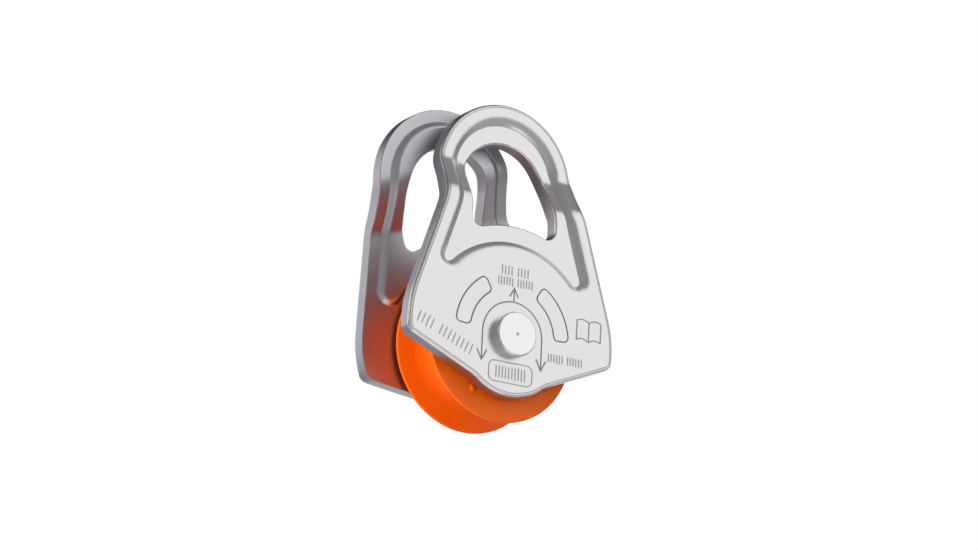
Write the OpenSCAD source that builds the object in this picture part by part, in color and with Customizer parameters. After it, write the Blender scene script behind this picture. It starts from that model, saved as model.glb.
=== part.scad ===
// Rope pulley with two swinging side plates and a grooved sheave.
// The origin is the axle's centre, midway between the plates.
// +X points right across the plates, +Y to the rear plate, +Z to the eyes.

/* [Sheave] */
// Diameter of the groove's bottom, where the rope runs
groove_d = 21; // [20:0.5:22]
// Diameter over the flanges
flange_d = 41.2; // [40:0.1:42]
// Width over the flanges
sheave_w = 16; // [15:0.1:16]
// Radius of the groove's round bottom
groove_r = 6.6; // [6:0.1:6.8]

/* [Side plates] */
// Thickness of the plate's sheet
sheet = 4; // [3.4:0.1:4]
// Width over both plates, below the eyes
plates_w = 26.6; // [26.6:0.1:28]
// How far the eye end is set inward
joggle = 6.8; // [6:0.1:6.8]
// Slope of the joggle from the plate's flat
joggle_angle = 32; // [30:1:36]
// Height at which the joggle begins
joggle_z = 31; // [30:0.5:32]
// Depth of the pressed panel round the eye
panel_depth = 1.3; // [0.8:0.1:1.3]
// Width of the raised rim outside the panel
rim_w = 5.4; // [4.8:0.1:5.4]
// Swing of the rear plate at rest, its eye towards -X
rest_swing = 16; // [0:1:20]

/* [Plate outline] */
// Radius of the plate's sides about the axle
side_r = 29.3; // [29:0.1:30]
// Lean of the straight flanks inward from the vertical
flank_angle = 17.9; // [17:0.1:18.5]
// Height of the centre of the arch over the eye
arch_z = 41.7; // [41:0.1:42.5]
// Outer radius of the arch over the eye
arch_r = 19.1; // [18.8:0.1:19.6]
// Radius of the hollow between flank and arch
waist_r = 40; // [32:1:44]
// Radius of the lobe under the axle
lobe_r = 15.2; // [15:0.1:16]
// Distance of the straight lower edges from the axle
lower_edge = 14.46; // [14:0.02:14.6]
// Slope of the straight lower edges
lower_angle = 23; // [20:1:26]

/* [Eye] */
// Radius of the eye's round top
eye_r = 11.9; // [11:0.1:12]
// Height of the centre of the eye's round top
eye_z = 38.9; // [38.5:0.1:39.2]
// Radius about the axle of the eye's crowned sill
sill_r = 28.2; // [28:0.1:29]
// Radius of the eye's lower corners
eye_corner_r = 2.4; // [1.5:0.1:3]

/* [Axle] */
// Diameter of the axle's shank
shank_d = 8; // [7.5:0.1:8]
// Diameter of the axle's two heads
head_d = 11.1; // [10.5:0.1:11.2]
// Height of a head above the plate
head_h = 2.5; // [1.5:0.1:3]
// Outer diameter of the spacer sleeve on the shank
sleeve_d = 11; // [10:0.1:11]
// Outer diameter of the bush pressed into the sheave
bush_d = 13; // [12.5:0.1:14]
// Outer diameter of the thrust washers
washer_d = 18; // [16:0.1:19]
// Thickness of a thrust washer
washer_t = 0.8; // [0.6:0.1:0.8]

/* [Hidden] */
$fn = 96;

// Play along the axle between neighbouring pieces
side_play = 0.1;
// Running fit on the radius
run_fit = 0.05;
// Clear space between the plates, which the sleeve keeps open
inner_gap = plates_w - 2*sheet;
// How far the sheave's hub stands out of each flange
hub_proud = (inner_gap - sheave_w)/2 - washer_t - 2*side_play;
hub_d = 17;
// Lip of each flange, and how far the groove flares beside it
lip_w = 0.9;
// Blends of the plate's outline
corner_r = 2.6;
notch_r = 6;
tip_r = 1.2;
// The pressed wall of the panel is this wide, seen on the plate's face
wall_w = 1.2;
// Lower edge of the panel, about the axle
panel_r = 24;
// Inner radius of the joggle's bends
bend_r = 5.5;
// Tall and wide enough to hold any plate
reach = 80;
// The two kidneys beside the axle, each drawn by a pressed line
kidney_in = 11.8;
kidney_out = 16.5;
kidney_from = 4;
kidney_to = 58;
kidney_line = 0.5;
kidney_depth = 0.3;
head_chamfer = 0.4;
// Points on each round stretch of an outline
steps = 10;

// Points along an arc about a centre.
function arc(centre, r, from, to, n = steps) =
    [for (i = [0:n]) let (a = from + (to - from)*i/n) centre + r*[cos(a), sin(a)]];
// Mirrored in the Z axis and in reverse order, to close a symmetric outline.
function mirrored(points) = [for (i = [len(points)-1:-1:0]) [-points[i].x, points[i].y]];
// The angle at which a point is seen from another.
function bearing(from, to) = atan2(to.y - from.y, to.x - from.x);
// A point given by its distances along the flank's normal and along the flank.
function on_flank(out, along) =
    out*[cos(flank_angle), sin(flank_angle)] + along*[-sin(flank_angle), cos(flank_angle)];
// A point given by its distances from and along the straight lower edge.
function on_lower(out, along) =
    out*[sin(lower_angle), -cos(lower_angle)] + along*[cos(lower_angle), sin(lower_angle)];

// Flank, waist and arch of the right side, set in from the plate's edge.
function upper_side(inset) =
    let (r_waist = waist_r + inset,
         r_arch = arch_r - inset,
         out = side_r + waist_r,
         along = arch_z*cos(flank_angle)
                 - sqrt(pow(arch_r + waist_r, 2) - pow(out - arch_z*sin(flank_angle), 2)),
         waist = on_flank(out, along),
         crown = [0, arch_z])
    concat(arc(waist, r_waist, 180 + flank_angle, (bearing(waist, crown) + 360) % 360),
           arc(crown, r_arch, bearing(crown, waist), 90, 2*steps));

// The right half of the plate's outline, from the lobe to the top.
function plate_side() =
    let (notch = on_lower(lower_edge + notch_r,
                          sqrt(pow(lobe_r + notch_r, 2) - pow(lower_edge + notch_r, 2))),
         corner = on_lower(lower_edge - corner_r,
                           sqrt(pow(side_r - corner_r, 2) - pow(lower_edge - corner_r, 2))))
    concat(arc([0, 0], lobe_r, -90, bearing([0, 0], notch)),
           arc(notch, notch_r, bearing(notch, [0, 0]), 90 + lower_angle, 4),
           arc(corner, corner_r, lower_angle - 90, bearing([0, 0], corner), 6),
           arc([0, 0], side_r, bearing([0, 0], corner), flank_angle),
           upper_side(0));

// The right half of the panel's outline, grown outward by a margin.
function panel_side(grow) =
    let (r_tip = tip_r + grow,
         out = side_r - rim_w - tip_r,
         tip = on_flank(out, sqrt(pow(panel_r + tip_r, 2) - pow(out, 2))))
    concat(arc([0, 0], panel_r - grow, 90, bearing([0, 0], tip)),
           arc(tip, r_tip, bearing(tip, [0, 0]), flank_angle, 8),
           upper_side(rim_w - grow));

// The right half of the eye's outline, from the sill to the top.
function eye_side() =
    let (corner = [eye_r - eye_corner_r,
                   sqrt(pow(sill_r + eye_corner_r, 2) - pow(eye_r - eye_corner_r, 2))])
    concat(arc([0, 0], sill_r, 90, bearing([0, 0], corner)),
           arc(corner, eye_corner_r, bearing(corner, [0, 0]), 0, 8),
           arc([0, eye_z], eye_r, 0, 90));

// Outer edge of the joggled sheet seen from the side, as [depth, height].
// At offset 0 it is the outer face, and at offset sheet the inner one.
function joggle_line(offset) =
    let (turn = 2*bend_r + sheet,
         straight = (joggle - turn*(1 - cos(joggle_angle)))/sin(joggle_angle),
         upper_z = joggle_z + turn*sin(joggle_angle) + straight*cos(joggle_angle),
         lower = [sheet + bend_r, joggle_z],
         upper = [joggle - bend_r, upper_z])
    concat([[offset, -reach]],
           arc(lower, bend_r + sheet - offset, 180, 180 - joggle_angle, 6),
           arc(upper, bend_r + offset, -joggle_angle, 0, 6),
           [[joggle + offset, reach]]);

// An upright slab standing on the outline, from its outer face y = 0 inward.
module slab(side, depth) {
    translate([0, depth, 0])
        rotate([90, 0, 0])
            linear_extrude(depth)
                polygon(concat(side, mirrored(side)));
}

// The joggled sheet between two depths, endlessly wide.
module joggled_sheet(from, to) {
    inner = joggle_line(to);
    translate([-reach/2, 0, 0])
        rotate([90, 0, 90])
            linear_extrude(reach)
                polygon(concat(joggle_line(from), [for (i = [len(inner)-1:-1:0]) inner[i]]));
}

// A cylinder along Y between two depths.
module along_y(r, from, to) {
    translate([0, from, 0])
        rotate([-90, 0, 0])
            cylinder(r = r, h = to - from);
}

// A ring along Y between two depths.
module ring(r_in, r_out, from, to) {
    difference() {
        along_y(r_out, from, to);
        along_y(r_in, from - 1, to + 1);
    }
}

// A kidney's outline on the right, set in by a margin.
function kidney_shape(inset) =
    let (turn = inset/kidney_in*180/PI)
    concat(arc([0, 0], kidney_out - inset, kidney_from + turn, kidney_to - turn),
           arc([0, 0], kidney_in + inset, kidney_to - turn, kidney_from + turn));

// The pressed line round one kidney, cut into the outer face on the right.
module kidney() {
    translate([0, kidney_depth, 0])
        rotate([90, 0, 0])
            difference() {
                linear_extrude(1)
                    polygon(kidney_shape(0));
                translate([0, 0, -1])
                    linear_extrude(3)
                        polygon(kidney_shape(kidney_line));
            }
}

// A side plate whose outer face is y = 0, with its inner side towards +Y.
module plate() {
    difference() {
        union() {
            difference() {
                intersection() {
                    slab(plate_side(), reach/2);
                    joggled_sheet(0, sheet);
                }
                intersection() {
                    translate([0, -1, 0])
                        slab(panel_side(0), reach/2);
                    joggled_sheet(-1, panel_depth);
                }
            }
            intersection() {
                slab(panel_side(wall_w), reach/2);
                joggled_sheet((sheet + panel_depth)/2, sheet + panel_depth);
            }
        }
        translate([0, -1, 0])
            slab(eye_side(), reach/2);
        along_y(shank_d/2 + run_fit, -1, sheet + 1);
        kidney();
        mirror([1, 0, 0]) kidney();
    }
}

module front_side_plate() {
    color([0.86, 0.86, 0.88])
        translate([0, -plates_w/2, 0])
            plate();
}

module rear_side_plate() {
    color([0.74, 0.74, 0.78])
        rotate([0, -rest_swing, 0])
            translate([0, plates_w/2, 0])
                mirror([0, 1, 0])
                    plate();
}

// The sheave's half section: hub, web, flange and the groove's quarter round.
module sheave() {
    half_w = sheave_w/2;
    flange_r = flange_d/2;
    groove_z = groove_d/2 + groove_r;
    right = concat([[bush_d/2, half_w + hub_proud], [hub_d/2, half_w + hub_proud],
                    [hub_d/2, half_w]],
                   arc([flange_r - lip_w/2, half_w - lip_w/2], lip_w/2, 90, 0, 3),
                   [[flange_r, half_w - lip_w]],
                   arc([groove_z, 0], groove_r, 90, 180, 12));
    left = [for (i = [len(right)-2:-1:0]) [right[i].x, -right[i].y]];
    color([0.93, 0.42, 0.10])
        rotate([-90, 0, 0])
            rotate_extrude()
                polygon(concat(right, left));
}

module sheave_bush() {
    color([0.62, 0.47, 0.26])
        ring(sleeve_d/2 + run_fit, bush_d/2, -sheave_w/2 - hub_proud, sheave_w/2 + hub_proud);
}

// The shank with its front head and its rear head, formed when it is riveted.
module axle_rivet() {
    head_y = plates_w/2 + side_play;
    section = [[0, head_y + head_h], [head_d/2 - head_chamfer, head_y + head_h],
               [head_d/2, head_y + head_h - head_chamfer], [head_d/2, head_y],
               [shank_d/2, head_y], [shank_d/2, -plates_w/2], [head_d/2, -plates_w/2],
               [head_d/2, head_chamfer - plates_w/2 - head_h],
               [head_d/2 - head_chamfer, -plates_w/2 - head_h], [0, -plates_w/2 - head_h]];
    color([0.93, 0.93, 0.94])
        rotate([-90, 0, 0])
            rotate_extrude()
                polygon(section);
}

module axle_sleeve() {
    color([0.70, 0.71, 0.73])
        ring(shank_d/2 + run_fit/2, sleeve_d/2, -inner_gap/2, inner_gap/2 - side_play);
}

// A thrust washer between a plate and the sheave's hub; side is -1 or 1.
module thrust_washer(side) {
    outer = inner_gap/2 - side_play;
    from = side > 0 ? outer - washer_t : -outer;
    ring(sleeve_d/2 + run_fit, washer_d/2, from, from + washer_t);
}

module front_thrust_washer() {
    color([0.20, 0.20, 0.22]) thrust_washer(-1);
}

module rear_thrust_washer() {
    color([0.20, 0.20, 0.22]) thrust_washer(1);
}

front_side_plate();
rear_side_plate();
sheave();
sheave_bush();
axle_rivet();
axle_sleeve();
front_thrust_washer();
rear_thrust_washer();
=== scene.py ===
"""Looks for the rope pulley: stamped side plates, moulded sheave, riveted axle and its running parts.

Outlines are worked out in millimetres on a plate's own face, x to the right and z up, with the axle at
the origin and depth measured inward from the outer face. Meshes are made in metres in the CAD frame.
"""
import math

import bmesh
import bpy
import numpy as np
from mathutils import Matrix, Vector, kdtree
from mathutils.geometry import delaunay_2d_cdt


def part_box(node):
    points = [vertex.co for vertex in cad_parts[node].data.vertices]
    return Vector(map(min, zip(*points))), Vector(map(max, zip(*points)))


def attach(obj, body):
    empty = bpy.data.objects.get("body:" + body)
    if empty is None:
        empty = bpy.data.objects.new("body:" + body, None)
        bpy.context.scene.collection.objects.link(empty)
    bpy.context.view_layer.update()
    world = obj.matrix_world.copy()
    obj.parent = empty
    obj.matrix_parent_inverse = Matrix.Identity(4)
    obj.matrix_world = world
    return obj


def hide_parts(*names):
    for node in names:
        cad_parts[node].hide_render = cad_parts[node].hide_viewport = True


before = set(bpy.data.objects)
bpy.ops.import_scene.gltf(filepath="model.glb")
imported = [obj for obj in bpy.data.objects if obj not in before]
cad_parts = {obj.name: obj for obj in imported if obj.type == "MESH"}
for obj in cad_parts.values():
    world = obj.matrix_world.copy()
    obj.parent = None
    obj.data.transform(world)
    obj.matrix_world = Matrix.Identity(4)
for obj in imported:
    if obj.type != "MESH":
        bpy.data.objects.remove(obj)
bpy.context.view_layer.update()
MM = 0.001


def box_mm(node):
    """A CAD node's lowest and highest corners, in millimetres."""
    low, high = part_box(node)
    return np.array(low) / MM, np.array(high) / MM


# ---- sizes read from the frame ----
PLATE_LOW, PLATE_HIGH = box_mm("front_side_plate")
FACE_Y = -PLATE_LOW[1]                       # outer face of a plate, from the middle of the pulley
SIDE_R = PLATE_HIGH[0]                       # the plate's sides, about the axle
FLANGE_R = box_mm("sheave")[1][0]
HUB_Y = box_mm("sheave")[1][1]
BUSH_R = box_mm("sheave_bush")[1][0]
SLEEVE_R = box_mm("axle_sleeve")[1][0]
SLEEVE_LOW, SLEEVE_HIGH = box_mm("axle_sleeve")
HEAD_R = box_mm("axle_rivet")[1][0]
HEAD_LOW, HEAD_HIGH = box_mm("axle_rivet")
WASHER_R = box_mm("front_thrust_washer")[1][0]
REST_SWING = math.radians(16)

# ---- sizes of the stamping, as in the design ----
SHEET = 4.0
JOGGLE = 6.8
JOGGLE_ANGLE = math.radians(32)
JOGGLE_Z = 31.0
BEND_R = 5.5
FLANK_ANGLE = 17.9
ARCH_Z = 41.7
ARCH_R = PLATE_HIGH[2] - ARCH_Z
WAIST_R = 40.0
LOBE_R = -PLATE_LOW[2]
LOWER_EDGE = 14.46
LOWER_ANGLE = 23.0
CORNER_R = 2.6
NOTCH_R = 6.0
RIM_W = 5.4
PANEL_R = 24.0
PANEL_DEPTH = 1.3
PANEL_STEP = dict(shoulder=2.5, wall=0.2, foot=0.25)    # the step round the panel, outside
BACK_STEP = dict(shoulder=0.5, wall=0.35, foot=1.3)     # and its softer foot on the inside
BACK_STEP_OUT = 0.4
TIP_R = 1.2
EYE_R = 11.9
EYE_Z = 38.9
EYE_CORNER_R = 2.4
SILL_R = 28.2
SHANK_R = 4.0
RUN_FIT = 0.05
EDGE_ROLL = 0.75                             # rounding of the outer face into the cut edge
EYE_ROLL = 0.6
BACK_ROLL = 0.25
EDGE_LINE_W = 0.28                           # the fine pressed line along the start of the edge's roll
EDGE_LINE_DEPTH = 0.07
# how much painted shade darkens the crease of the edge's pressed line
EDGE_LINE_SHADE = 0.4
KIDNEY = dict(inner=12.05, outer=16.25, start=4.0, end=59.0, corner=1.3)
MARK_W = 0.46                                # width and depth of an engraved line
MARK_DEPTH = 0.16
PATH_STRENGTH = 0.8                          # how deep the rope path and arrows are cut and how much painted shade greys them
FIELD_STRENGTH = 0.45                        # and the blank marking fields
WORN_W = 1.3                                 # how far in from its edges a plate is rubbed


# ---------------------------------------------------------------- outlines
def arc(centre, r, start, end, step=0.15):
    """Points along an arc, angles in degrees, about step millimetres apart."""
    count = max(3, int(abs(math.radians(end - start)) * r / step) + 1)
    turn = np.radians(np.linspace(start, end, count))
    return np.c_[centre[0] + r * np.cos(turn), centre[1] + r * np.sin(turn)]


def line(a, b, step=0.15):
    a, b = np.asarray(a, float), np.asarray(b, float)
    count = max(2, int(np.linalg.norm(b - a) / step) + 1)
    return a + (b - a) * np.linspace(0, 1, count)[:, None]


def bearing(a, b):
    return math.degrees(math.atan2(b[1] - a[1], b[0] - a[0]))


def along(angle, out, forward):
    """A point given by its distances along a direction turned from +x and square to it."""
    c, s = math.cos(math.radians(angle)), math.sin(math.radians(angle))
    return np.array([out * c - forward * s, out * s + forward * c])


def symmetric(side):
    """Closes the right half of an outline with its mirror image."""
    mirrored = side[::-1] * [-1, 1]
    return np.vstack([side, mirrored])


def upper_side(inset):
    """Flank, waist and arch of the right side, set in from the plate's edge."""
    out = SIDE_R + WAIST_R
    angle = math.radians(FLANK_ANGLE)
    reach = ARCH_Z * math.cos(angle) - math.sqrt(
        (ARCH_R + WAIST_R) ** 2 - (out - ARCH_Z * math.sin(angle)) ** 2)
    waist = along(FLANK_ANGLE, out, reach)
    crown = np.array([0, ARCH_Z])
    return np.vstack([
        arc(waist, WAIST_R + inset, 180 + FLANK_ANGLE, bearing(waist, crown) % 360),
        arc(crown, ARCH_R - inset, bearing(crown, waist), 90)])


def plate_outline():
    """The plate from its lobe round the side to the top of the arch."""
    lower = LOWER_ANGLE - 90
    notch = along(lower, LOWER_EDGE + NOTCH_R,
                  math.sqrt((LOBE_R + NOTCH_R) ** 2 - (LOWER_EDGE + NOTCH_R) ** 2))
    corner = along(lower, LOWER_EDGE - CORNER_R,
                   math.sqrt((SIDE_R - CORNER_R) ** 2 - (LOWER_EDGE - CORNER_R) ** 2))
    origin = np.zeros(2)
    return symmetric(np.vstack([
        arc(origin, LOBE_R, -90, bearing(origin, notch)),
        arc(notch, NOTCH_R, bearing(notch, origin), 90 + LOWER_ANGLE),
        arc(corner, CORNER_R, lower, bearing(origin, corner)),
        arc(origin, SIDE_R, bearing(origin, corner), FLANK_ANGLE),
        upper_side(0)]))


def panel_outline():
    """The pressed panel round the eye, with its two pointed feet."""
    out = SIDE_R - RIM_W - TIP_R
    tip = along(FLANK_ANGLE, out, math.sqrt((PANEL_R + TIP_R) ** 2 - out ** 2))
    origin = np.zeros(2)
    return symmetric(np.vstack([
        arc(origin, PANEL_R, 90, bearing(origin, tip)),
        arc(tip, TIP_R, bearing(tip, origin), FLANK_ANGLE, 0.05),
        upper_side(RIM_W)]))


def eye_outline():
    """The carabiner's eye, round on top, with a crowned sill."""
    side = EYE_R - EYE_CORNER_R
    corner = np.array([side, math.sqrt((SILL_R + EYE_CORNER_R) ** 2 - side ** 2)])
    origin = np.zeros(2)
    return symmetric(np.vstack([
        arc(origin, SILL_R, 90, bearing(origin, corner)),
        arc(corner, EYE_CORNER_R, bearing(corner, origin), 0),
        arc((0, EYE_Z), EYE_R, 0, 90)]))


def kidney_outline(inner, outer, start, end, corner):
    """A kidney about the axle, on the right, with rounded corners."""
    def corner_centre(radius, angle, turn):
        angle += turn * math.degrees(math.asin(corner / radius))
        return along(angle, radius, 0), angle

    low_out, a = corner_centre(outer - corner, start, 1)
    high_out, b = corner_centre(outer - corner, end, -1)
    high_in, c = corner_centre(inner + corner, end, -1)
    low_in, d = corner_centre(inner + corner, start, 1)
    origin = np.zeros(2)
    return np.vstack([
        arc(low_out, corner, start - 90, a), arc(origin, outer, a, b),
        arc(high_out, corner, b, end + 90), arc(high_in, corner, end + 90, c + 180),
        arc(origin, inner, c, d), arc(low_in, corner, d + 180, start + 270)])


class Outline:
    """A closed outline, evenly sampled, that answers how far a point lies outside it."""

    def __init__(self, points, step=0.06):
        closed = np.vstack([points, points[:1]])
        gaps = np.linalg.norm(np.diff(closed, axis=0), axis=1)
        closed = closed[np.r_[True, gaps > 1e-6]]
        run = np.r_[0, np.cumsum(np.linalg.norm(np.diff(closed, axis=0), axis=1))]
        self.closed, self.run = closed, run
        self.points = self.sample(int(run[-1] / step))
        ahead = np.roll(self.points, -1, 0) - np.roll(self.points, 1, 0)
        self.normals = np.c_[ahead[:, 1], -ahead[:, 0]]
        self.normals /= np.linalg.norm(self.normals, axis=1)[:, None]
        x, z = self.points.T
        if np.dot(x, np.roll(z, -1)) < np.dot(z, np.roll(x, -1)):
            self.normals *= -1
        self.tree = tree_of(self.points)

    def sample(self, count):
        at = np.linspace(0, self.run[-1], count, endpoint=False)
        return np.c_[np.interp(at, self.run, self.closed[:, 0]),
                     np.interp(at, self.run, self.closed[:, 1])]

    def distance(self, points):
        """Signed distance, positive outside."""
        index, gap = nearest(self.tree, points)
        across = ((points - self.points[index]) * self.normals[index]).sum(1)
        return np.where(gap < 0.5, across, np.sign(across) * gap)

    def row(self, out, step):
        """Points beside the outline at a distance, without those that fold over."""
        every = max(1, round(step / (self.run[-1] / len(self.points))))
        points = (self.points + out * self.normals)[::every]
        return points[np.abs(self.distance(points) - out) < 0.02]


def tree_of(points):
    tree = kdtree.KDTree(len(points))
    for i, (x, z) in enumerate(points):
        tree.insert((x, z, 0), i)
    tree.balance()
    return tree


def nearest(tree, points):
    """Index of the nearest sample to each point, and how far it is."""
    found = [tree.find((x, z, 0)) for x, z in points]
    return (np.fromiter((f[1] for f in found), int, len(found)),
            np.fromiter((f[2] for f in found), float, len(found)))


# ---------------------------------------------------------------- engraved marks
def arrow(tip, tail, wing=(1.2, 2.3)):
    """An open arrow from tail to tip, as three strokes."""
    tip, tail = np.asarray(tip, float), np.asarray(tail, float)
    back = (tail - tip) / np.linalg.norm(tail - tip)
    square = np.array([-back[1], back[0]])
    wings = [tip + back * wing[1] + square * side * wing[0] for side in (-1, 1)]
    return [line(tail, tip)] + [line(tip, w) for w in wings]


def tick_row(centre, length, height, words, angle=0.0):
    """A row of plain upright ticks, grouped like words, in place of lettering."""
    slots = [i for i, count in enumerate(words) for _ in range(2 * count)]
    places = [tick + gap for tick, gap in enumerate(slots)]
    strokes = []
    for place in places:
        at = (place / places[-1] - 0.5) * length
        ends = [np.asarray(centre) + along(angle, at, side * height / 2) for side in (-1, 1)]
        strokes.append(line(*ends))
    return strokes


def data_frame(centre, width, height, corner):
    """A rounded frame with an upright hatch in it."""
    w, h = width / 2 - corner, height / 2 - corner
    corners = [(w, h, 0), (-w, h, 90), (-w, -h, 180), (w, -h, 270)]
    rounds = [arc((centre[0] + x, centre[1] + z), corner, a, a + 90) for x, z, a in corners]
    joined = np.vstack(rounds + [rounds[0][:1]])
    border = [line(a, b) for a, b in zip(joined[:-1], joined[1:])]
    return [np.vstack(border)] + tick_row(centre, width - 4.2, height - 2.6, (5,))


def open_book(centre, width, height):
    """The plain open-book sign for read the notice."""
    half, tall = width / 2, height / 2
    strokes = [line((centre[0], centre[1] - tall), (centre[0], centre[1] + tall - 0.3))]
    for side in (-1, 1):
        for level in (-tall, tall):
            t = np.linspace(0, 1, 24)
            bow = 0.55 * np.sin(t * math.pi) - 0.3 * (1 - t)
            strokes.append(np.c_[centre[0] + side * half * t, centre[1] + level + bow])
        strokes.append(line((centre[0] + side * half, centre[1] - tall),
                            (centre[0] + side * half, centre[1] + tall)))
    return strokes


def cut(strokes, strength):
    """Strokes with how deep each is cut and how much painted shade greys it."""
    return [(stroke, strength) for stroke in strokes]


def closed_stroke(corners, step=0.08):
    """A closed stroke with even points, so that its straight runs have points too."""
    loop = np.vstack([corners, corners[:1]])
    run = np.r_[0, np.cumsum(np.linalg.norm(np.diff(loop, axis=0), axis=1))]
    places = np.linspace(0, run[-1], int(run[-1] / step))
    return np.column_stack([np.interp(places, run, loop[:, axis]) for axis in (0, 1)])


def kidney_lines():
    right = closed_stroke(kidney_outline(**KIDNEY))
    return [right, right[::-1] * [-1, 1]]


def front_marks():
    """Every engraved line of the front plate: kidneys, rope path, arrows and blank fields."""
    turn_r, leg_end = 8.5, -7.4
    path = [arc((0, 0), turn_r, 0, 180)] + arrow((0, 12.0), (0, turn_r), wing=(1.15, 2.1))
    for side in (-1, 1):
        path += arrow((side * turn_r, leg_end), (side * turn_r, 0))
    fields = tick_row((0, 16.3), 7.4, 2.0, (2, 2))
    fields += tick_row((0.2, 13.5), 9.6, 1.7, (3, 3))
    fields += tick_row((15.4, -3.6), 9.6, 1.7, (3, 3))
    fields += tick_row((-19.0, -2.4), 16.0, 2.5, (2, 4), -21.5)
    fields += data_frame((-0.1, -9.5), 12.4, 5.2, 1.6)
    return (cut(kidney_lines(), 1.0) + cut(path, PATH_STRENGTH) + cut(fields, FIELD_STRENGTH)
            + cut(open_book((22.0, 4.9), 7.0, 4.9), 0.6))


def rear_marks():
    """The rear plate carries the kidneys, a batch row and a rope arrow."""
    return (cut(kidney_lines(), 1.0) + cut(tick_row((0, 16.3), 7.4, 2.0, (2, 2)), FIELD_STRENGTH)
            + cut(arrow((0, 12.0), (0, 8.5), wing=(1.15, 2.1)), PATH_STRENGTH))


# ---------------------------------------------------------------- heights of the stamping
def joggle_depth(z, offset):
    """Depth of the joggled sheet's face at a height: offset 0 is outside, SHEET is inside."""
    sine, cosine = math.sin(JOGGLE_ANGLE), math.cos(JOGGLE_ANGLE)
    turn = 2 * BEND_R + SHEET
    straight = (JOGGLE - turn * (1 - cosine)) / sine
    upper_z = JOGGLE_Z + turn * sine + straight * cosine
    r_low, r_up = BEND_R + SHEET - offset, BEND_R + offset
    rise = np.clip(z - JOGGLE_Z, 0, r_low * sine)
    low = SHEET + BEND_R - np.sqrt(r_low ** 2 - rise ** 2)
    fall = np.clip(upper_z - z, 0, r_up * sine)
    high = JOGGLE - BEND_R + np.sqrt(r_up ** 2 - fall ** 2)
    slanted = low + (z - JOGGLE_Z - r_low * sine) * math.tan(JOGGLE_ANGLE)
    return np.where(z < JOGGLE_Z + r_low * sine, low,
                    np.where(z < upper_z - r_up * sine, slanted, high))


def pressed(distance, shoulder, wall, foot):
    """Share of a pressing's full depth: 1 inside, and 0 past its shoulder, wall and foot."""
    full = (shoulder + foot) / 2 + wall
    d = np.clip(distance, 0, shoulder + wall + foot)
    at_foot = full - d ** 2 / (2 * foot)
    at_wall = full - foot / 2 - (d - foot)
    at_shoulder = (shoulder + wall + foot - d) ** 2 / (2 * shoulder)
    share = np.where(d < foot, at_foot, np.where(d < foot + wall, at_wall, at_shoulder))
    return share / full


def rolled(distance, radius):
    """How far a rounded edge falls back, from 0 inside to the radius at the edge itself."""
    d = np.clip(distance, 0, radius)
    return radius - np.sqrt(radius ** 2 - (radius - d) ** 2)


class Stamping:
    """The side plate's shape: where its metal is, and how deep each face lies."""

    def __init__(self, marks):
        self.plate = Outline(plate_outline())
        self.eye = Outline(eye_outline())
        self.hole = Outline(arc((0, 0), SHANK_R + RUN_FIT, 0, 360, 0.05)[:-1], 0.05)
        self.panel = Outline(panel_outline())
        self.marks = [stroke for stroke, _ in marks]
        self.mark_tree = tree_of(np.vstack(self.marks))
        self.mark_strength = np.hstack([[strength] * len(stroke) for stroke, strength in marks])

    def edges(self, p):
        """Distances into the metal from the outline, from the eye and from the axle's hole."""
        return -self.plate.distance(p), self.eye.distance(p), self.hole.distance(p)

    def engraved(self, p):
        """How deep an engraved line is cut here, as a share: 0 beside the lines."""
        index, gap = nearest(self.mark_tree, p)
        share = np.clip(1 - gap / (MARK_W / 2), 0, 1)
        return share * share * (3 - 2 * share) * self.mark_strength[index]

    def edge_line(self, p):
        """1 along the fine pressed line where the edge's roll begins."""
        gap = np.abs(self.edges(p)[0] - EDGE_ROLL)
        return np.clip(1 - gap / (EDGE_LINE_W / 2), 0, 1)

    def outer(self, p):
        rim, eye, hole = self.edges(p)
        offset = PANEL_DEPTH * pressed(self.panel.distance(p), **PANEL_STEP)
        depth = joggle_depth(p[:, 1], offset)
        depth = depth + rolled(rim, EDGE_ROLL) + rolled(eye, EYE_ROLL) + rolled(hole, BACK_ROLL)
        return depth + MARK_DEPTH * self.engraved(p) + EDGE_LINE_DEPTH * self.edge_line(p)

    def inner(self, p):
        rim, eye, hole = self.edges(p)
        beyond = self.panel.distance(p) - BACK_STEP_OUT
        offset = SHEET + PANEL_DEPTH * pressed(beyond, **BACK_STEP)
        depth = joggle_depth(p[:, 1], offset)
        return depth - rolled(rim, BACK_ROLL) - rolled(eye, BACK_ROLL) - rolled(hole, BACK_ROLL)


# ---------------------------------------------------------------- the stamped plates
ROWS_ROLLED = np.array([0.025, 0.1, 0.22, 0.4, 0.62, 0.84, 0.92, 1.0, 1.08, 1.16, 1.4])   # of the roll
ROWS_PANEL = [-0.1, 0.08, 0.2, 0.32, 0.45, 0.6, 0.75, 1.0, 1.3, 1.7, 2.1, 2.5, 2.9, 3.1]
ROWS_MARK = [0.0, 0.08, 0.16, 0.23, 0.3]
EDGE_STEP = 0.45                             # between points round an edge
WALL_ROWS = 7                                # rows of points across the sheet


def hex_grid(low, high, step):
    """An even triangular grid of points over a rectangle."""
    columns = np.arange(low[0], high[0], step)
    rows = np.arange(low[1], high[1], step * math.sqrt(0.75))
    x, z = np.meshgrid(columns, rows)
    x[1::2] += step / 2
    return np.c_[x.ravel(), z.ravel()]


def beside(stroke, out):
    """The points of an engraved stroke moved to its side by a distance."""
    ahead = np.gradient(stroke, axis=0)
    square = np.c_[-ahead[:, 1], ahead[:, 0]] / np.linalg.norm(ahead, axis=1)[:, None]
    return stroke + out * square


def thinned(points, cell):
    """Drops points that fall in a cell already taken."""
    keys = np.round(points / cell).astype(int)
    return points[np.sort(np.unique(keys, axis=0, return_index=True)[1])]


def away_from(points, others, gap):
    return points[nearest(tree_of(others), points)[1] > gap]


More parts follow.
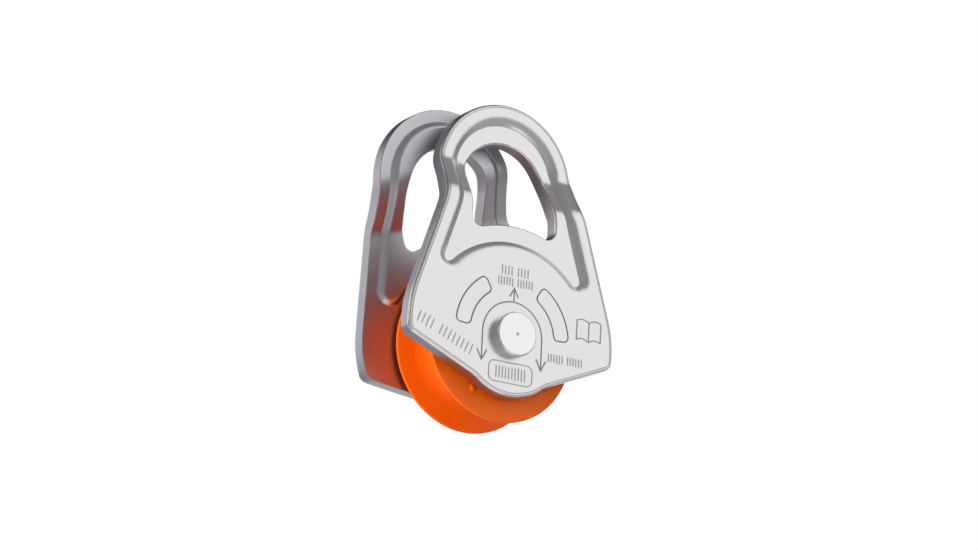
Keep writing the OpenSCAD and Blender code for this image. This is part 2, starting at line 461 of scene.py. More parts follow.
def face_points(shape, outside):
    """Points inside the metal: rows along every edge and pressing, and an even grid between."""
    back = [BACK_ROLL] * 3
    rolls = [EDGE_ROLL, EYE_ROLL, BACK_ROLL] if outside else back
    rows = [outline.row(-side * share * roll, 0.45)
            for outline, side, roll in zip((shape.plate, shape.eye, shape.hole), (1, -1, -1), rolls)
            for share in ROWS_ROLLED]
    rows += [shape.panel.row(out if outside else out + 0.1, 0.45) for out in ROWS_PANEL]
    if outside:
        for stroke in shape.marks:
            rows += [beside(stroke, side * out) for out in ROWS_MARK for side in (-1, 1)]
    near = thinned(np.vstack(rows), 0.03)
    fine = hex_grid((-30, JOGGLE_Z - 0.6), (30, ARCH_Z + 4.5), 0.36)
    coarse = hex_grid((-30, -20), (30, 65), 0.62)
    outside_band = (coarse[:, 1] < JOGGLE_Z - 0.7) | (coarse[:, 1] > ARCH_Z + 4.5)
    grid = away_from(np.vstack([fine, coarse[outside_band]]), near, 0.28)
    points = np.vstack([near, grid])
    rim, eye, hole = shape.edges(points)
    return points[np.minimum(np.minimum(rim, eye), hole) > 0.01]


def triangulated(shape, points, loops):
    """Joins a face's points and its edge loops into triangles, with none outside the metal."""
    edges, start = [], 0
    for loop in loops:
        index = np.arange(start, start + len(loop))
        edges += list(zip(index.tolist(), np.roll(index, -1).tolist()))
        start += len(loop)
    every = np.vstack(loops + [points])
    result = delaunay_2d_cdt([Vector(p) for p in every], edges, [], 0, 1e-7, True)
    origin = np.array([o[0] for o in result[3]])
    tris = origin[np.array(result[2])]
    middle = every[tris].mean(1)
    inside = np.minimum.reduce(shape.edges(middle)) > 0
    return every, tris[inside]


def slope_normals(height, points, facing):
    """Normals of a face given by its depth; facing is -1 for the outer face and 1 for the inner."""
    h = 0.012
    shift_x, shift_z = np.array([h, 0]), np.array([0, h])
    gx = (height(points + shift_x) - height(points - shift_x)) / (2 * h)
    gz = (height(points + shift_z) - height(points - shift_z)) / (2 * h)
    normals = np.c_[-facing * gx, np.full(len(points), float(facing)), -facing * gz]
    return normals / np.linalg.norm(normals, axis=1)[:, None]


def edge_loops(shape):
    """Even points round the plate's edge, its eye and its hole, with the wall's normals there."""
    outlines = (shape.plate, shape.eye, shape.hole)
    loops = [o.sample(int(o.run[-1] / EDGE_STEP)) for o in outlines]
    outward = [side * o.normals[nearest(o.tree, loop)[0]]
               for o, loop, side in zip(outlines, loops, (1, -1, -1))]
    return loops, np.vstack([np.c_[n[:, 0], np.zeros(len(n)), n[:, 1]] for n in outward])


def wall_triangles(rows, counts):
    """Triangles between rows of wall points, as one closed band for each loop."""
    wall, first = [], 0
    for count in counts:
        here = np.arange(first, first + count)
        ahead = np.roll(here, -1)
        for a, b in zip(rows[:-1], rows[1:]):
            wall += [np.c_[a[here], a[ahead], b[ahead]], np.c_[a[here], b[ahead], b[here]]]
        first += count
    return np.vstack(wall)


def stamped_plate(shape):
    """A plate in its own frame: vertices, normals, triangles, wall triangles, engraving (the painted
    shade mask), inside.
    """
    loops, edge_normals = edge_loops(shape)
    on_edge = len(edge_normals)
    verts, normals, faces, edge_depths, starts, start = [], [], [], [], [], 0
    for height, facing in ((shape.outer, -1), (shape.inner, 1)):
        points, tris = triangulated(shape, face_points(shape, facing < 0), loops)
        depth = height(points)
        normal = slope_normals(height, points, facing)
        normal[:on_edge] = edge_normals
        verts.append(np.c_[points[:, 0], depth, points[:, 1]])
        normals.append(normal)
        faces.append(tris + start)
        edge_depths.append(depth[:on_edge])
        starts.append(start)
        start += len(points)
    ring = np.vstack(loops)
    rows = [np.arange(on_edge) + starts[0]]
    for share in np.linspace(0, 1, WALL_ROWS)[1:-1]:
        depth = edge_depths[0] * (1 - share) + edge_depths[1] * share
        verts.append(np.c_[ring[:, 0], depth, ring[:, 1]])
        normals.append(edge_normals)
        rows.append(np.arange(on_edge) + start)
        start += on_edge
    rows.append(np.arange(on_edge) + starts[1])
    outer_points = verts[0][:, [0, 2]]
    engraved, inside = np.zeros(start), np.zeros(start)
    # Painted shade mask: darkens the colour in the engraved lines and along the edge's pressed line,
    # standing in for the shade in their grooves.
    engraved[:len(outer_points)] = np.maximum(
        shape.engraved(outer_points), EDGE_LINE_SHADE * shape.edge_line(outer_points))
    inside[starts[1]:starts[1] + len(verts[1])] = 1
    wall = wall_triangles(rows, [len(loop) for loop in loops])
    return np.vstack(verts), np.vstack(normals), np.vstack(faces), wall, engraved, inside


def placed(vectors, rear, as_points):
    """Moves a plate's vectors into the pulley: the rear plate is mirrored and swung."""
    moved = vectors.copy()
    if rear:
        moved[:, 1] *= -1
    if as_points:
        moved[:, 1] += FACE_Y if rear else -FACE_Y
    if rear:
        turn = np.array(Matrix.Rotation(-REST_SWING, 3, "Y"))
        moved = moved @ turn.T
    return moved


def plate_piece(name, marks, rear, materials):
    shape = Stamping(marks)
    verts, normals, faces, wall, engraved, inside = stamped_plate(shape)
    edge = np.clip(1 - np.minimum.reduce(shape.edges(verts[:, [0, 2]])) / WORN_W, 0, 1)
    verts, normals = placed(verts, rear, True), placed(normals, rear, False)
    tris = np.vstack([faces, wall])
    corner = verts[tris]
    facing = np.cross(corner[:, 1] - corner[:, 0], corner[:, 2] - corner[:, 0])
    wrong = (facing * normals[tris].mean(1)).sum(1) < 0
    tris[wrong] = tris[wrong][:, ::-1]
    mesh = bpy.data.meshes.new(name)
    mesh.from_pydata((verts * MM).tolist(), [], tris.tolist())
    mesh.polygons.foreach_set("use_smooth", [True] * len(tris))
    mesh.polygons.foreach_set("material_index", [0] * len(faces) + [1] * len(wall))
    # engraved is the painted shade mask, edge is the rubbed wear, inside marks the inner faces, which
    # get painted shade.
    for attribute, values in (("engraved", engraved), ("edge", edge), ("inside", inside)):
        mesh.attributes.new(attribute, "FLOAT", "POINT").data.foreach_set("value", values)
    mesh.normals_split_custom_set_from_vertices(normals.tolist())
    for material in materials:
        mesh.materials.append(material)
    return add_object(name, mesh)


def add_object(name, data):
    piece = bpy.data.objects.new(name, data)
    bpy.context.scene.collection.objects.link(piece)
    return piece


# ---------------------------------------------------------------- node helpers
def add_node(tree, kind, inputs=None, **settings):
    """A node with its settings, and its inputs set to values or linked to sockets."""
    node = tree.nodes.new(kind)
    for key, value in settings.items():
        setattr(node, key, value)
    for key, value in (inputs or {}).items():
        if isinstance(value, bpy.types.NodeSocket):
            tree.links.new(value, node.inputs[key])
        else:
            node.inputs[key].default_value = value
    return node


def calc(tree, operation, *values):
    """A Math node's result."""
    return add_node(tree, "ShaderNodeMath", dict(enumerate(values)), operation=operation).outputs[0]


def group_socket(tree, name, kind, way="INPUT", value=None):
    socket = tree.interface.new_socket(name=name, in_out=way, socket_type="NodeSocket" + kind)
    if value is not None:
        socket.default_value = value
    return socket


# ---------------------------------------------------------------- turned pieces
def turning_tree():
    """Turns a section, drawn as radius and place along the axle, into a closed round piece."""
    tree = bpy.data.node_groups.new("turned_piece", "GeometryNodeTree")
    group_socket(tree, "Section", "Geometry")
    group_socket(tree, "Steps Round", "Int", value=128)
    group_socket(tree, "Surface", "Material")
    group_socket(tree, "Piece", "Geometry", "OUTPUT")
    start = tree.nodes.new("NodeGroupInput")
    size = add_node(tree, "GeometryNodeAttributeDomainSize", {"Geometry": start.outputs["Section"]})
    per_row = calc(tree, "ADD", start.outputs["Steps Round"], 1.0)
    grid = add_node(tree, "GeometryNodeMeshGrid",
                    {"Vertices X": size.outputs["Point Count"], "Vertices Y": per_row})
    index = tree.nodes.new("GeometryNodeInputIndex").outputs[0]
    row = calc(tree, "FLOOR", calc(tree, "DIVIDE", calc(tree, "ADD", index, 0.5), per_row))
    step = calc(tree, "SUBTRACT", index, calc(tree, "MULTIPLY", row, per_row))
    turn = calc(tree, "MULTIPLY", calc(tree, "DIVIDE", step, start.outputs["Steps Round"]), math.tau)
    place = tree.nodes.new("GeometryNodeInputPosition").outputs[0]
    sample = add_node(tree, "GeometryNodeSampleIndex",
                      {"Geometry": start.outputs["Section"], "Index": row}, data_type="FLOAT_VECTOR")
    tree.links.new(place, sample.inputs["Value"])
    section = add_node(tree, "ShaderNodeSeparateXYZ", {0: sample.outputs["Value"]})
    point = add_node(tree, "ShaderNodeCombineXYZ", {
        "X": calc(tree, "MULTIPLY", section.outputs["X"], calc(tree, "COSINE", turn)),
        "Y": section.outputs["Y"],
        "Z": calc(tree, "MULTIPLY", section.outputs["X"], calc(tree, "SINE", turn))})
    moved = add_node(tree, "GeometryNodeSetPosition",
                     {"Geometry": grid.outputs["Mesh"], "Position": point.outputs[0]})
    closed = add_node(tree, "GeometryNodeMergeByDistance",
                      {"Geometry": moved.outputs[0], "Distance": 0.001 * MM})
    finish_tree(tree, closed.outputs[0], start)
    return tree


def finish_tree(tree, geometry, start):
    """Every piece's tree ends smooth, real and with its surface set."""
    smooth = add_node(tree, "GeometryNodeSetShadeSmooth", {"Geometry": geometry})
    real = add_node(tree, "GeometryNodeRealizeInstances", {"Geometry": smooth.outputs[0]})
    surface = add_node(tree, "GeometryNodeSetMaterial",
                       {"Geometry": real.outputs[0], "Material": start.outputs["Surface"]})
    end = tree.nodes.new("NodeGroupOutput")
    tree.links.new(surface.outputs[0], end.inputs[0])


def from_tree(name, tree, base_mesh, **values):
    """Runs a geometry tree on a mesh and keeps the plain result."""
    carrier = add_object(name + "_carrier", base_mesh)
    modifier = carrier.modifiers.new(name, "NODES")
    modifier.node_group = tree
    for socket in tree.interface.items_tree:
        if socket.in_out == "INPUT" and socket.name in values:
            modifier[socket.identifier] = values[socket.name]
    bpy.context.view_layer.update()
    shaped = carrier.evaluated_get(bpy.context.evaluated_depsgraph_get())
    mesh = bpy.data.meshes.new_from_object(shaped)
    bpy.data.objects.remove(carrier)
    mesh.name = name
    work = bmesh.new()
    work.from_mesh(mesh)
    bmesh.ops.recalc_face_normals(work, faces=work.faces)
    work.to_mesh(mesh)
    work.free()
    return add_object(name, mesh)


def rounded_section(corners, closed, guard=0.06):
    """A section through (radius, place, rounding) corners, in millimetres, as a mesh of points."""
    count, points = len(corners), []
    for i, (r, y, rounding) in enumerate(corners):
        here = np.array([r, y])
        if rounding == 0 or not closed and i in (0, count - 1):
            points.append(here)
            continue
        before = np.array(corners[i - 1][:2]) - here
        after = np.array(corners[(i + 1) % count][:2]) - here
        before, after = before / np.linalg.norm(before), after / np.linalg.norm(after)
        half = math.acos(np.clip(np.dot(before, after), -1, 1)) / 2
        back = rounding / math.tan(half)
        centre = here + (before + after) / np.linalg.norm(before + after) * rounding / math.sin(half)
        first, last = here + before * back, here + after * back
        points.append(first + before * guard)
        for t in np.linspace(0, 1, 6):
            spoke = (first - centre) * (1 - t) + (last - centre) * t
            points.append(centre + spoke / np.linalg.norm(spoke) * rounding)
        points.append(last + after * guard)
    if closed:
        points.append(points[0])
    mesh = bpy.data.meshes.new("section")
    mesh.from_pydata([(p[0] * MM, p[1] * MM, 0) for p in points], [], [])
    return mesh


def ring_corners(r_in, r_out, low, high, rounding):
    return [(r_in, low, rounding), (r_out, low, rounding), (r_out, high, rounding),
            (r_in, high, rounding)]


def sheave_corners():
    """Bore, hub, web, flange lips and the groove's round bottom."""
    half_w, lip, groove_r, groove_bottom, hub_r = 8.0, 0.9, 6.6, 10.5, 8.5
    centre = groove_bottom + groove_r
    right = [(BUSH_R, HUB_Y, 0.25), (hub_r, HUB_Y, 0.25), (hub_r + 0.1, half_w, 0.2),
             (FLANGE_R, half_w, 0.42), (FLANGE_R - 0.02, half_w - lip, 0.38)]
    groove = [(centre - groove_r * math.sin(a), groove_r * math.cos(a), 0)
              for a in np.radians(np.linspace(2, 178, 61))]
    left = [(r, -y, rounding) for r, y, rounding in right[::-1]]
    return right + groove + left


def rivet_corners():
    """From the front head's punched centre to the rear head's."""
    front, rear = HEAD_LOW[1], HEAD_HIGH[1]
    under_front, under_rear = -FACE_Y, FACE_Y + 0.1
    return [(0, front + 0.3, 0), (0.12, front + 0.22, 0), (0.42, front, 0.08),
            (HEAD_R, front, 0.45), (HEAD_R, under_front, 0.05),
            (SHANK_R, under_front, 0.05), (SHANK_R, under_rear, 0.05),
            (HEAD_R, under_rear, 0.05), (HEAD_R, rear, 0.6),
            (2.6, rear, 0.2), (2.2, rear - 0.35, 0.2), (0, rear - 0.35, 0)]


def pip_tree():
    """Small moulding pips, evenly spaced round a circle about the axle."""
    tree = bpy.data.node_groups.new("moulding_pips", "GeometryNodeTree")
    group_socket(tree, "Base", "Geometry")
    for name, kind, value in (("Count", "Int", 3), ("Circle Radius", "Float", 0.015),
                              ("Pip Radius", "Float", 0.0008), ("First Turn", "Float", 0.0),
                              ("Place", "Float", 0.0), ("Flatness", "Float", 0.5)):
        group_socket(tree, name, kind, value=value)
    group_socket(tree, "Surface", "Material")
    group_socket(tree, "Pips", "Geometry", "OUTPUT")
    start = tree.nodes.new("NodeGroupInput")
    circle = add_node(tree, "GeometryNodeMeshCircle",
                      {"Vertices": start.outputs["Count"], "Radius": start.outputs["Circle Radius"]})
    dome = add_node(tree, "GeometryNodeMeshUVSphere",
                    {"Segments": 24, "Rings": 12, "Radius": start.outputs["Pip Radius"]})
    flat = add_node(tree, "ShaderNodeCombineXYZ", {"X": 1.0, "Y": 1.0, "Z": start.outputs["Flatness"]})
    pips = add_node(tree, "GeometryNodeInstanceOnPoints", {
        "Points": circle.outputs["Mesh"], "Instance": dome.outputs["Mesh"], "Scale": flat.outputs[0]})
    turn = add_node(tree, "ShaderNodeCombineXYZ", {"X": math.pi / 2, "Y": start.outputs["First Turn"]})
    shift = add_node(tree, "ShaderNodeCombineXYZ", {"Y": start.outputs["Place"]})
    seated = add_node(tree, "GeometryNodeTransform", {
        "Geometry": pips.outputs[0], "Translation": shift.outputs[0], "Rotation": turn.outputs[0]})
    finish_tree(tree, seated.outputs[0], start)
    return tree


# ---------------------------------------------------------------- shared surface effects
def effect(name, inputs, outputs):
    """An empty shader group with named inputs (name, kind, value) and outputs (name, kind)."""
    tree = bpy.data.node_groups.new(name, "ShaderNodeTree")
    for label, kind, value in inputs:
        group_socket(tree, label, kind, value=value)
    for label, kind in outputs:
        group_socket(tree, label, kind, "OUTPUT")
    return tree, tree.nodes.new("NodeGroupInput"), tree.nodes.new("NodeGroupOutput")


def millimetres(tree):
    """Object coordinates in millimetres."""
    coords = tree.nodes.new("ShaderNodeTexCoord").outputs["Object"]
    return add_node(tree, "ShaderNodeVectorMath", {0: coords, 1: (1000, 1000, 1000)},
                    operation="MULTIPLY").outputs[0]


def stretched(tree, coords, stretch):
    return add_node(tree, "ShaderNodeVectorMath", {0: coords, 1: stretch},
                    operation="MULTIPLY").outputs[0]


def cloud_effect():
    """Slow, uneven drift of a finish, centred on nought."""
    tree, start, end = effect(
        "cloudy_finish", [("Size", "Float", 0.1), ("Amount", "Float", 0.1)], [("Drift", "Float")])
    noise = add_node(tree, "ShaderNodeTexNoise", {
        "Vector": millimetres(tree), "Scale": start.outputs["Size"], "Detail": 3.0,
        "Roughness": 0.55})
    centred = calc(tree, "SUBTRACT", noise.outputs["Fac"], 0.5)
    tree.links.new(calc(tree, "MULTIPLY", centred, start.outputs["Amount"]), end.inputs[0])
    return tree


def grain_effect():
    """Fine lines drawn out along one direction, as rolling, brushing or shearing leaves them."""
    tree, start, end = effect(
        "drawn_grain",
        [("Stretch", "Vector", (1.0, 1.0, 1.0)), ("Fineness", "Float", 4.0), ("Amount", "Float", 0.02)],
        [("Height", "Float"), ("Shade", "Float")])
    coords = stretched(tree, millimetres(tree), start.outputs["Stretch"])
    noise = add_node(tree, "ShaderNodeTexNoise", {
        "Vector": coords, "Scale": start.outputs["Fineness"], "Detail": 6.0, "Roughness": 0.7})
    centred = calc(tree, "SUBTRACT", noise.outputs["Fac"], 0.5)
    tree.links.new(calc(tree, "MULTIPLY", noise.outputs["Fac"], start.outputs["Amount"]),
                   end.inputs["Height"])
    tree.links.new(centred, end.inputs["Shade"])
    return tree


def wear_effect():
    """Breaks a smooth edge mask into rubbed patches."""
    tree, start, end = effect(
        "rubbed_edge",
        [("Edge", "Float", 0.0), ("Patchiness", "Float", 0.5), ("Size", "Float", 0.8)],
        [("Mask", "Float")])
    noise = add_node(tree, "ShaderNodeTexNoise", {
        "Vector": millimetres(tree), "Scale": start.outputs["Size"], "Detail": 4.0})
    centred = calc(tree, "SUBTRACT", noise.outputs["Fac"], 0.5)
    broken = calc(tree, "ADD", start.outputs["Edge"],
                  calc(tree, "MULTIPLY", centred, start.outputs["Patchiness"]))
    mask = add_node(tree, "ShaderNodeMapRange", {
        "Value": broken, "From Min": 0.35, "From Max": 0.95}, interpolation_type="SMOOTHSTEP")
    tree.links.new(mask.outputs["Result"], end.inputs["Mask"])
    return tree


def rings_effect():
    """Fine turning rings about the axle."""
    tree, start, end = effect(
        "turned_rings", [("Pitch", "Float", 0.2), ("Amount", "Float", 0.01)],
        [("Height", "Float"), ("Shade", "Float")])
    place = add_node(tree, "ShaderNodeSeparateXYZ", {0: millimetres(tree)})
    square = [calc(tree, "POWER", calc(tree, "ABSOLUTE", place.outputs[k]), 2.0) for k in "XZ"]
    radius = calc(tree, "SQRT", calc(tree, "ADD", *square))
    track = add_node(tree, "ShaderNodeCombineXYZ", {
        "X": calc(tree, "DIVIDE", radius, start.outputs["Pitch"]),
        "Y": calc(tree, "DIVIDE", place.outputs["Y"], start.outputs["Pitch"])})
    noise = add_node(tree, "ShaderNodeTexNoise", {
        "Vector": track.outputs[0], "Scale": 1.0, "Detail": 2.0, "Roughness": 0.6})
    tree.links.new(calc(tree, "MULTIPLY", noise.outputs["Fac"], start.outputs["Amount"]),
                   end.inputs["Height"])
    tree.links.new(calc(tree, "SUBTRACT", noise.outputs["Fac"], 0.5), end.inputs["Shade"])
    return tree


CLOUD = cloud_effect()
GRAIN = grain_effect()
WEAR = wear_effect()
RINGS = rings_effect()


# ---------------------------------------------------------------- materials
def srgb(red, green, blue):
    """A colour as the eye reads it, 0 to 255, as the linear values that a shader takes."""
    parts = [c / 255 for c in (red, green, blue)]
    return [c / 12.92 if c <= 0.04045 else ((c + 0.055) / 1.055) ** 2.4 for c in parts] + [1.0]


def new_material(name):
    material = bpy.data.materials.new(name)
    material.use_nodes = True
    return material, material.node_tree, material.node_tree.nodes["Principled BSDF"]


def use_effect(tree, group, **values):
    """Places a shared effect; underscores in the names stand for spaces."""
    node = tree.nodes.new("ShaderNodeGroup")
    node.node_tree = group
    for key, value in values.items():
        socket = node.inputs[key.replace("_", " ")]
        if isinstance(value, bpy.types.NodeSocket):
            tree.links.new(value, socket)
        else:
            socket.default_value = value
    return node.outputs


def attribute(tree, name):
    return add_node(tree, "ShaderNodeAttribute", attribute_name=name).outputs["Fac"]


def mixed(tree, share, first, second):
    """A colour between two others."""
    node = tree.nodes.new("ShaderNodeMix")
    node.data_type = "RGBA"
    for socket, value in zip((node.inputs[0], node.inputs[6], node.inputs[7]), (share, first, second)):
        if isinstance(value, bpy.types.NodeSocket):
            tree.links.new(value, socket)
        else:
            socket.default_value = value
    return node.outputs[2]


def clamped(tree, value, low=0.0, high=1.0):
    return add_node(tree, "ShaderNodeClamp", {"Value": value, "Min": low, "Max": high}).outputs[0]


def feed(tree, shader, height=None, bump=0.1, **sockets):
    """Links values to the shader's own sockets, and a height, in millimetres, through a bump."""
    for key, value in sockets.items():
        socket = shader.inputs[key.replace("_", " ")]
        if isinstance(value, bpy.types.NodeSocket):
            tree.links.new(value, socket)
        else:
            socket.default_value = value
    if height is not None:
        node = add_node(tree, "ShaderNodeBump", {"Strength": bump, "Distance": MM, "Height": height})
        tree.links.new(node.outputs[0], shader.inputs["Normal"])


def plate_face_material():
    """Satin rolled aluminium, cloudy, rubbed bright at its edges; painted shade makes it grey in the
    engraved lines and darker on the inner faces.
    """
    material, tree, shader = new_material("satin_plate_face")
    cloud = use_effect(tree, CLOUD, Size=0.11, Amount=0.12)["Drift"]
    fine = use_effect(tree, CLOUD, Size=1.6, Amount=0.05)["Drift"]
    grain = use_effect(tree, GRAIN, Stretch=(0.25, 1.0, 3.0), Fineness=3.0, Amount=0.004)
    rubbed = use_effect(tree, WEAR, Edge=attribute(tree, "edge"), Patchiness=0.5, Size=0.9)["Mask"]
    # Painted shade: the engraved lines and the edge's pressed line are greyed in colour to stand in for
    # the shade in their grooves; they are rougher too.
    engraved = clamped(tree, calc(tree, "MULTIPLY", attribute(tree, "engraved"), 1.1))
    shade = clamped(tree, calc(tree, "ADD", 0.5, calc(tree, "ADD", cloud, fine)))
    metal = mixed(tree, shade, srgb(220, 218, 218), srgb(236, 234, 233))
    bright = mixed(tree, rubbed, metal, srgb(242, 240, 239))
    inside = attribute(tree, "inside")
    # Painted shade: the inner faces, between the plates, are given a darker colour; they are also
    # rougher.
    duller = mixed(tree, inside, bright, srgb(206, 204, 208))
    colour = mixed(tree, engraved, duller, srgb(150, 148, 150))
    rough = calc(tree, "ADD", 0.27, calc(tree, "MULTIPLY", cloud, 0.6))
    rough = calc(tree, "SUBTRACT", rough, calc(tree, "MULTIPLY", rubbed, 0.03))
    rough = calc(tree, "ADD", rough, calc(tree, "MULTIPLY", engraved, 0.25))
    rough = calc(tree, "ADD", rough, calc(tree, "MULTIPLY", grain["Shade"], 0.06))
    rough = calc(tree, "ADD", rough, calc(tree, "MULTIPLY", inside, 0.14))
    feed(tree, shader, grain["Height"], 0.2, Base_Color=colour, Metallic=1.0, Roughness=rough)
    return material


def cut_edge_material():
    """The sheared edge: duller and greyer, with fine lines across the sheet."""
    material, tree, shader = new_material("sheared_plate_edge")
    shear = use_effect(tree, GRAIN, Stretch=(2.2, 0.12, 2.2), Fineness=3.0, Amount=0.03)
    cloud = use_effect(tree, CLOUD, Size=0.5, Amount=0.2)["Drift"]
    shade = clamped(tree, calc(tree, "ADD", 0.5, calc(tree, "ADD", shear["Shade"], cloud)))
    colour = mixed(tree, shade, srgb(176, 174, 182), srgb(206, 204, 212))
    rough = calc(tree, "ADD", 0.42, calc(tree, "MULTIPLY", shear["Shade"], 0.15))
    feed(tree, shader, shear["Height"], 0.5, Base_Color=colour, Metallic=1.0, Roughness=rough)
    return material


def nylon_material():
    """Orange moulded nylon with a faint flow pattern and a skin that is a little uneven."""
    material, tree, shader = new_material("orange_moulded_nylon")
    flow = use_effect(tree, CLOUD, Size=0.16, Amount=0.5)["Drift"]
    skin = use_effect(tree, CLOUD, Size=2.5, Amount=0.05)["Drift"]
    rings = use_effect(tree, RINGS, Pitch=0.35, Amount=0.012)
    shade = clamped(tree, calc(tree, "ADD", 0.5, flow))
    colour = mixed(tree, shade, srgb(252, 96, 6), srgb(254, 116, 14))
    rough = calc(tree, "ADD", 0.36, calc(tree, "ADD", skin, calc(tree, "MULTIPLY", flow, 0.12)))
    height = calc(tree, "ADD", rings["Height"], calc(tree, "MULTIPLY", skin, 0.25))
    feed(tree, shader, height, 0.35, Base_Color=colour, Roughness=rough,
         Specular_IOR_Level=0.22, Subsurface_Weight=0.12, Subsurface_Scale=0.002)
    shader.inputs["Subsurface Radius"].default_value = (1.0, 0.35, 0.1)
    return material


def turned_material(name, dark, light, metallic, rough, pitch=0.16, relief=0.01, drift=0.3):
    """A turned piece: rings about the axle, a cloudy finish and two close shades."""
    material, tree, shader = new_material(name)
    rings = use_effect(tree, RINGS, Pitch=pitch, Amount=relief)
    cloud = use_effect(tree, CLOUD, Size=0.35, Amount=drift)["Drift"]
    shade = clamped(tree, calc(tree, "ADD", 0.5, calc(tree, "ADD", cloud, rings["Shade"])))
    uneven = calc(tree, "ADD", calc(tree, "MULTIPLY", cloud, 0.2),
                  calc(tree, "MULTIPLY", rings["Shade"], 0.12))
    feed(tree, shader, rings["Height"], 0.12, Base_Color=mixed(tree, shade, dark, light),
         Metallic=metallic, Roughness=calc(tree, "ADD", rough, uneven))
    return material


# ---------------------------------------------------------------- the pulley's pieces
TURNING = turning_tree()
PIPS = pip_tree()
FACE_METAL = plate_face_material()
EDGE_METAL = cut_edge_material()
NYLON = nylon_material()


def turned_piece(name, corners, closed, material, steps=160):
    return from_tree(name, TURNING, rounded_section(corners, closed),
                     **{"Steps Round": steps, "Surface": material})


def fitted(piece, body, slot, *nodes):
    """A finished piece rides on its body and stands for its CAD nodes; slot is not used."""
    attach(piece, body)
    if nodes:
        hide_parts(*nodes)
    return piece


def make_plates():
    metals = (FACE_METAL, EDGE_METAL)
    fitted(plate_piece("front_plate_stamping", front_marks(), False, metals),
           "front_plate", "plate_aluminium", "front_side_plate")
    fitted(plate_piece("rear_plate_stamping", rear_marks(), True, metals),
           "rear_plate", "plate_aluminium", "rear_side_plate")


def make_sheave():
    fitted(turned_piece("sheave_moulding", sheave_corners(), True, NYLON, 192),
           "sheave", "sheave_nylon", "sheave")
    bronze = turned_material("sintered_bronze", srgb(150, 108, 62), srgb(178, 132, 80), 1.0, 0.42)
    low, high = box_mm("sheave_bush")
    fitted(turned_piece("pressed_bush", ring_corners(SLEEVE_R + RUN_FIT, BUSH_R, low[1], high[1], 0.15),
                        True, bronze), "sheave", "bush_bronze", "sheave_bush")
    for side, name in ((-1, "front_moulding_pips"), (1, "rear_moulding_pips")):
        base = bpy.data.meshes.new(name)
        pips = from_tree(name, PIPS, base, **{
            "Count": 3, "Circle Radius": 0.0153, "Pip Radius": 0.0009, "First Turn": math.radians(-1.4),
            "Place": side * 0.008, "Flatness": 0.45, "Surface": NYLON})
        fitted(pips, "sheave", "sheave_nylon")


def make_axle():
    alloy = turned_material("turned_axle_alloy", srgb(236, 236, 237), srgb(248, 248, 249), 1.0, 0.3,
                            relief=0.004, drift=0.08)
    steel = turned_material("ground_steel", srgb(150, 150, 154), srgb(188, 188, 192), 1.0, 0.3)
    acetal = turned_material("black_acetal", srgb(20, 20, 22), srgb(36, 36, 38), 0.0, 0.42, 0.3)
    fitted(turned_piece("riveted_axle", rivet_corners(), False, alloy),
           "front_plate", "axle_alloy", "axle_rivet")
    low, high = SLEEVE_LOW[1], SLEEVE_HIGH[1]
    fitted(turned_piece("spacer_sleeve", ring_corners(SHANK_R, SLEEVE_R, low, high, 0.15), True, steel),
           "front_plate", "sleeve_steel", "axle_sleeve")
    for name in ("front_thrust_washer", "rear_thrust_washer"):
        low, high = box_mm(name)
        corners = ring_corners(SLEEVE_R + RUN_FIT, WASHER_R, low[1], high[1], 0.12)
        fitted(turned_piece(name + "_disc", corners, True, acetal),
               "front_plate", "washer_acetal", name)


# ---------------------------------------------------------------- studio
AIM = Vector((-7.42, -13.26, 14.07)) * MM    # the point that the camera looks at
VIEW_TURN, VIEW_RISE, VIEW_ROLL = (math.radians(a) for a in (-30.9, -15.69, 2.75))
VIEW_DISTANCE = 1.0
LENS = 150.74
FLOOR_Z = -0.42


def direction(turn, rise):
    """A unit direction from the pulley: turn 0 is the front and 90 its right, rise is upward."""
    return Vector((math.sin(turn) * math.cos(rise), -math.cos(turn) * math.cos(rise), math.sin(rise)))


def make_camera():
    """Looks up at the pulley from the front left, a little below it."""
    back = direction(VIEW_TURN, VIEW_RISE)
    level = Vector((math.cos(VIEW_TURN), math.sin(VIEW_TURN), 0))
    right = Matrix.Rotation(VIEW_ROLL, 3, back) @ level
    camera = add_object("camera", bpy.data.cameras.new("camera"))
    camera.data.lens = LENS
    camera.data.clip_start = 0.05
    camera.rotation_mode = "QUATERNION"
    camera.rotation_quaternion = Matrix((right, back.cross(right), back)).transposed().to_quaternion()
    camera.location = AIM + back * VIEW_DISTANCE
    bpy.context.scene.camera = camera


def softbox(name, turn, rise, distance, width, height, radiance):
    """A rectangular soft light that faces the pulley."""
    light = bpy.data.lights.new(name, "AREA")
    light.shape = "RECTANGLE"
    light.size, light.size_y = width, height
    light.energy = radiance * math.pi * width * height
    lamp = add_object(name, light)
    toward = direction(math.radians(turn), math.radians(rise))
    lamp.location = toward * distance
    lamp.rotation_mode = "QUATERNION"
    lamp.rotation_quaternion = toward.to_track_quat("Z", "Y")
    return lamp


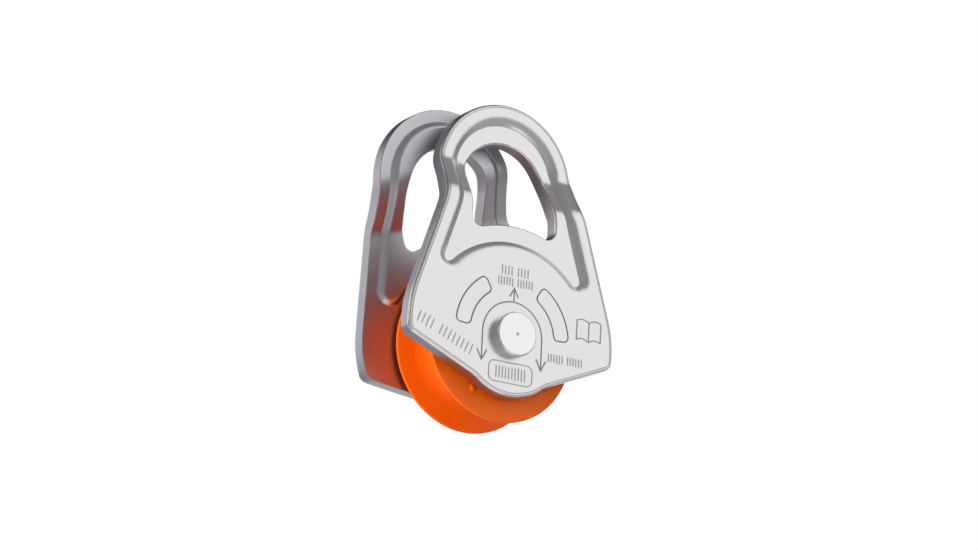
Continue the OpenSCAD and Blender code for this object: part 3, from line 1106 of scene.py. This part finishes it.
def make_world():
    """White to the eye; to reflections a dim room, dark behind, over a pale floor."""
    world = bpy.data.worlds.new("studio")
    world.use_nodes = True
    bpy.context.scene.world = world
    tree = world.node_tree
    background = tree.nodes["Background"]
    seen = tree.nodes.new("ShaderNodeLightPath").outputs["Is Camera Ray"]
    way = add_node(tree, "ShaderNodeSeparateXYZ",
                   {0: tree.nodes.new("ShaderNodeTexCoord").outputs["Generated"]})
    behind = add_node(tree, "ShaderNodeMapRange", {
        "Value": way.outputs["Y"], "From Min": -0.45, "From Max": 0.4},
        interpolation_type="SMOOTHSTEP").outputs["Result"]
    room = mixed(tree, behind, (0.29, 0.287, 0.29, 1), (0.04, 0.038, 0.041, 1))
    below = add_node(tree, "ShaderNodeMapRange", {
        "Value": way.outputs["Z"], "From Min": 0.0, "From Max": -0.3},
        interpolation_type="SMOOTHSTEP").outputs["Result"]
    room = mixed(tree, below, room, (0.42, 0.417, 0.42, 1))
    tree.links.new(mixed(tree, seen, room, (1, 1, 1, 1)), background.inputs["Color"])


def make_floor():
    material, tree, shader = new_material("pale_floor")
    cloud = use_effect(tree, CLOUD, Size=0.004, Amount=0.3)["Drift"]
    shade = clamped(tree, calc(tree, "ADD", 0.5, cloud))
    feed(tree, shader, Base_Color=mixed(tree, shade, srgb(238, 238, 238), srgb(246, 246, 246)),
         Roughness=0.9)
    mesh = bpy.data.meshes.new("floor")
    reach = 4.0
    corners = [(-reach, -reach), (reach, -reach), (reach, reach), (-reach, reach)]
    mesh.from_pydata([(x, y, FLOOR_Z) for x, y in corners], [], [(0, 1, 2, 3)])
    mesh.materials.append(material)
    floor = add_object("floor", mesh)
    floor.visible_glossy = False


def make_studio():
    """Soft lights: the key lies in the front faces, the others in edges, rolls and the rear."""
    make_camera()
    make_world()
    make_floor()
    softbox("key", 37, 27, 1.5, 1.65, 1.85, 0.75)
    softbox("back_left", -138, 16, 1.5, 1.3, 1.1, 1.0)
    softbox("under_front", 0, -62, 1.3, 1.0, 0.7, 0.9)
    softbox("back_right", 140, -8, 1.5, 1.5, 1.0, 0.7)
    side_fill = softbox("side_fill", -78, 4, 1.3, 1.0, 1.1, 5.5)
    side_fill.visible_glossy = False
    softbox("sheave_glow", -82, 18, 1.5, 0.35, 0.5, 1.6)
    bpy.context.scene.view_settings.view_transform = "Standard"


make_plates()
make_sheave()
make_axle()
make_studio()
